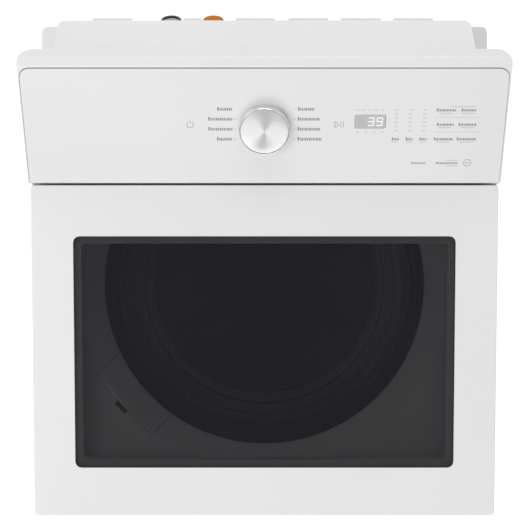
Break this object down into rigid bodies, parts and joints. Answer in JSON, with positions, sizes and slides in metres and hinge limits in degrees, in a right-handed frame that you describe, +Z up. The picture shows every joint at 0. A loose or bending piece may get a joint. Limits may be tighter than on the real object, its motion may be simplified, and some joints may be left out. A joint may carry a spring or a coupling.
{
  "type": "top load washing machine",
  "caption": "Full-size top load washing machine with a sloping glass-topped lid, a raised rear console with a cycle dial, and a suspended tub, basket and impeller inside.",
  "frame": {"origin": "on the floor, below the middle of the machine's outline", "axes": "+Z up, front towards -Y, +X to the right of someone standing in front"},
  "size_m": [0.686, 0.7347, 1.1298],
  "materials": {
    "enamel": "gloss white enamel",
    "white_plastic": "gloss white moulding",
    "dark_plastic": "satin dark grey moulding",
    "tinted_glass": "clear tempered glass, smoke tinted",
    "display_lens": "translucent light grey lens",
    "stainless": "brushed",
    "zinc": "galvanised",
    "chrome": "polished",
    "spun_metal": "spun, with fine circular lines",
    "rubber": "matt black",
    "grey_plastic": "moulded grey polypropylene",
    "orange_plastic": "moulded orange",
    "circuit_board": "green solder mask",
    "copper": "enamelled copper windings"
  },
  "bodies": {
    "cabinet": {"cabinet_shell": "enamel", "rear_panel": "zinc", "base_frame": "zinc", "top_cover": "white_plastic", "console_housing": "white_plastic", "console_fascia": "white_plastic", "console_rear_cover": "white_plastic", "display_window": "display_lens", "control_board": "circuit_board", "cold_inlet_valve": "white_plastic", "hot_inlet_valve": "white_plastic", "cold_inlet_cap": "dark_plastic", "hot_inlet_cap": "orange_plastic", "dispenser_housing": "white_plastic", "lid_lock_housing": "dark_plastic", "hinge_bracket_left": "zinc", "hinge_bracket_right": "zinc", "hinge_pin_left": "stainless", "hinge_pin_right": "stainless", "suspension_rod_front_left": "stainless", "suspension_rod_front_right": "stainless", "suspension_rod_rear_left": "stainless", "suspension_rod_rear_right": "stainless", "suspension_spring_front_left": "zinc", "suspension_spring_front_right": "zinc", "suspension_spring_rear_left": "zinc", "suspension_spring_rear_right": "zinc", "drain_pump_body": "grey_plastic", "drain_hose": "rubber", "drain_outlet_pipe": "grey_plastic", "cord_gland": "dark_plastic"},
    "lid": {"lid_frame": "white_plastic", "lid_glass": "tinted_glass", "lid_inner_frame": "white_plastic", "lid_hinge_arm_left": "zinc", "lid_hinge_arm_right": "zinc", "lid_strike": "stainless"},
    "dial": {"dial_knob": "chrome", "dial_face": "spun_metal"},
    "drawer": {"dispenser_drawer": "white_plastic", "siphon_cap": "grey_plastic"},
    "tub": {"outer_tub": "grey_plastic", "tub_cover": "dark_plastic", "bearing_housing": "zinc", "upper_bearing": "stainless", "lower_bearing": "stainless", "stator": "copper"},
    "basket": {"wash_basket": "stainless", "balance_ring": "dark_plastic", "spin_shaft": "stainless"},
    "drive": {"impeller": "grey_plastic", "wash_shaft": "stainless", "rotor": "zinc"},
    "clutch": {"clutch_coupler": "grey_plastic"},
    "lock_bolt": {"lid_lock_bolt": "grey_plastic"},
    "pump": {"pump_impeller": "dark_plastic"},
    "foot_front_left": {"levelling_foot_front_left": "rubber"},
    "foot_front_right": {"levelling_foot_front_right": "rubber"},
    "foot_rear_left": {"levelling_foot_rear_left": "rubber"},
    "foot_rear_right": {"levelling_foot_rear_right": "rubber"}
  },
  "joints": [
    {"name": "lid_hinge", "type": "hinge", "parent": "cabinet", "child": "lid", "pos_m": [0, 0.107, 1.0211], "axis": [-1, 0, 0], "range_deg": [0, 98]},
    {"name": "dial_turn", "type": "hinge", "parent": "cabinet", "child": "dial", "pos_m": [0, 0.1974, 1.0783], "axis": [0, -0.5222, 0.8528], "continuous": true},
    {"name": "drawer_slide", "type": "slide", "parent": "cabinet", "child": "drawer", "axis": [0.7071, 0.7071, 0], "range_m": [0, 0.08]},
    {"name": "tub_bounce", "type": "slide", "parent": "cabinet", "child": "tub", "axis": [0, 0, 1], "range_m": [-0.04, 0.01], "stiffness_N_per_m": 14000, "springref_m": 0.0324, "deforming": ["suspension_spring_front_left", "suspension_spring_front_right", "suspension_spring_rear_left", "suspension_spring_rear_right", "drain_hose"]},
    {"name": "basket_spin", "type": "hinge", "parent": "tub", "child": "basket", "pos_m": [0, -0.0235, 0.3], "axis": [0, 0, 1], "continuous": true},
    {"name": "impeller_spin", "type": "hinge", "parent": "tub", "child": "drive", "pos_m": [0, -0.0235, 0.3], "axis": [0, 0, 1], "continuous": true},
    {"name": "clutch_shift", "type": "slide", "parent": "tub", "child": "clutch", "axis": [0, 0, -1], "range_m": [0, 0.008], "stiffness_N_per_m": 300, "springref_m": -0.004},
    {"name": "lid_lock_slide", "type": "slide", "parent": "cabinet", "child": "lock_bolt", "axis": [-1, 0, 0], "range_m": [0, 0.011], "stiffness_N_per_m": 100, "springref_m": -0.003},
    {"name": "pump_spin", "type": "hinge", "parent": "cabinet", "child": "pump", "pos_m": [-0.13, 0.0965, 0.09], "axis": [0, 0, 1], "continuous": true},
    {"name": "foot_front_left_turn", "type": "hinge", "parent": "cabinet", "child": "foot_front_left", "pos_m": [-0.3, -0.3, 0.02], "axis": [0, 0, 1], "continuous": true},
    {"name": "foot_front_right_turn", "type": "hinge", "parent": "cabinet", "child": "foot_front_right", "pos_m": [0.3, -0.3, 0.02], "axis": [0, 0, 1], "continuous": true},
    {"name": "foot_rear_left_turn", "type": "hinge", "parent": "cabinet", "child": "foot_rear_left", "pos_m": [-0.3, 0.315, 0.02], "axis": [0, 0, 1], "continuous": true},
    {"name": "foot_rear_right_turn", "type": "hinge", "parent": "cabinet", "child": "foot_rear_right", "pos_m": [0.3, 0.315, 0.02], "axis": [0, 0, 1], "continuous": true}
  ]
}
